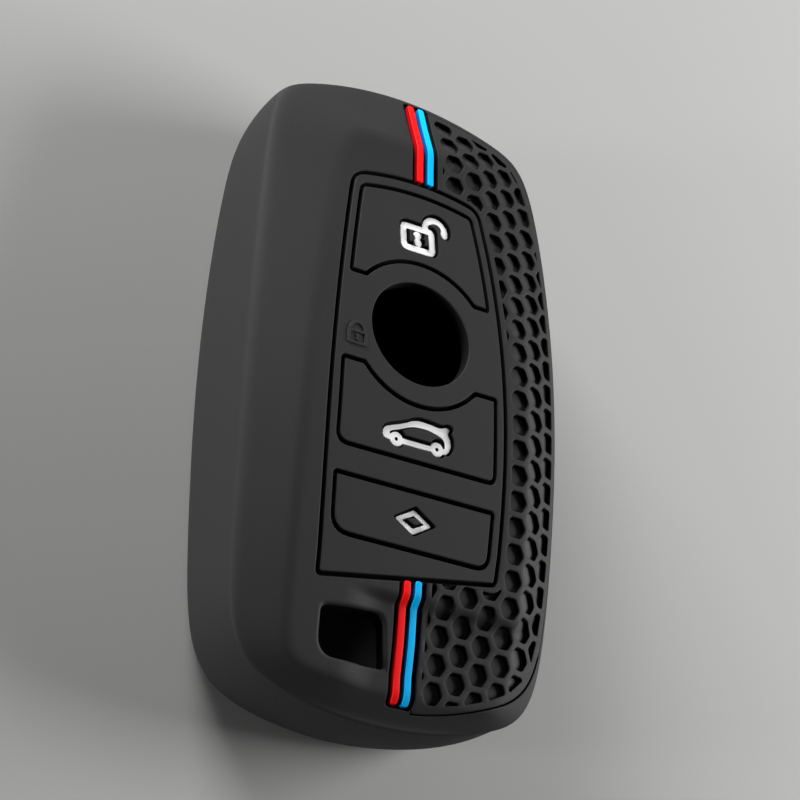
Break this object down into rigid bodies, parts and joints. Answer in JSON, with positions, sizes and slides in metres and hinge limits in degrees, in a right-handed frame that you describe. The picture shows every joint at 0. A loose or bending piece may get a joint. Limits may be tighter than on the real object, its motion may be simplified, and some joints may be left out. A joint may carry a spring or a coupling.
{
  "type": "key fob cover",
  "caption": "Soft silicone cover for a car key fob, with pressable keypad buttons, a round badge window, a key-ring hole, a honeycomb grip band and coloured ribs.",
  "frame": {"origin": "middle of the back, on the plane that the cover rests on", "axes": "X across the cover to the honeycomb side, Y along it to the rounded top end, Z out of the front"},
  "size_m": [0.0382, 0.0734, 0.0185],
  "materials": {
    "black_silicone": "matte",
    "band_silicone": "matte",
    "white_silicone": "matte",
    "red_silicone": "satin",
    "azure_silicone": "satin"
  },
  "bodies": {
    "cover": {"shell": "black_silicone", "honeycomb_band": "band_silicone", "keypad_panel": "black_silicone", "unlock_web": "black_silicone", "boot_web": "black_silicone", "diamond_web": "black_silicone", "lock_mark_body": "black_silicone", "lock_mark_shackle": "black_silicone", "lock_mark_keyhole": "black_silicone", "red_rib_top": "red_silicone", "blue_rib_top": "azure_silicone", "red_rib_bottom": "red_silicone", "blue_rib_bottom": "azure_silicone"},
    "unlock_button": {"unlock_button": "black_silicone", "unlock_sign_body": "white_silicone", "unlock_sign_shackle": "white_silicone", "unlock_sign_keyhole": "white_silicone"},
    "boot_button": {"boot_button": "black_silicone", "boot_sign": "white_silicone"},
    "diamond_button": {"diamond_button": "black_silicone", "diamond_sign": "white_silicone"}
  },
  "joints": [
    {"name": "unlock_press", "type": "slide", "parent": "cover", "child": "unlock_button", "axis": [0, 0, -1], "range_m": [0, 0.0006], "stiffness_N_per_m": 2000},
    {"name": "boot_press", "type": "slide", "parent": "cover", "child": "boot_button", "axis": [0, 0, -1], "range_m": [0, 0.0006], "stiffness_N_per_m": 2000},
    {"name": "diamond_press", "type": "slide", "parent": "cover", "child": "diamond_button", "axis": [0, 0, -1], "range_m": [0, 0.0006], "stiffness_N_per_m": 2000}
  ]
}
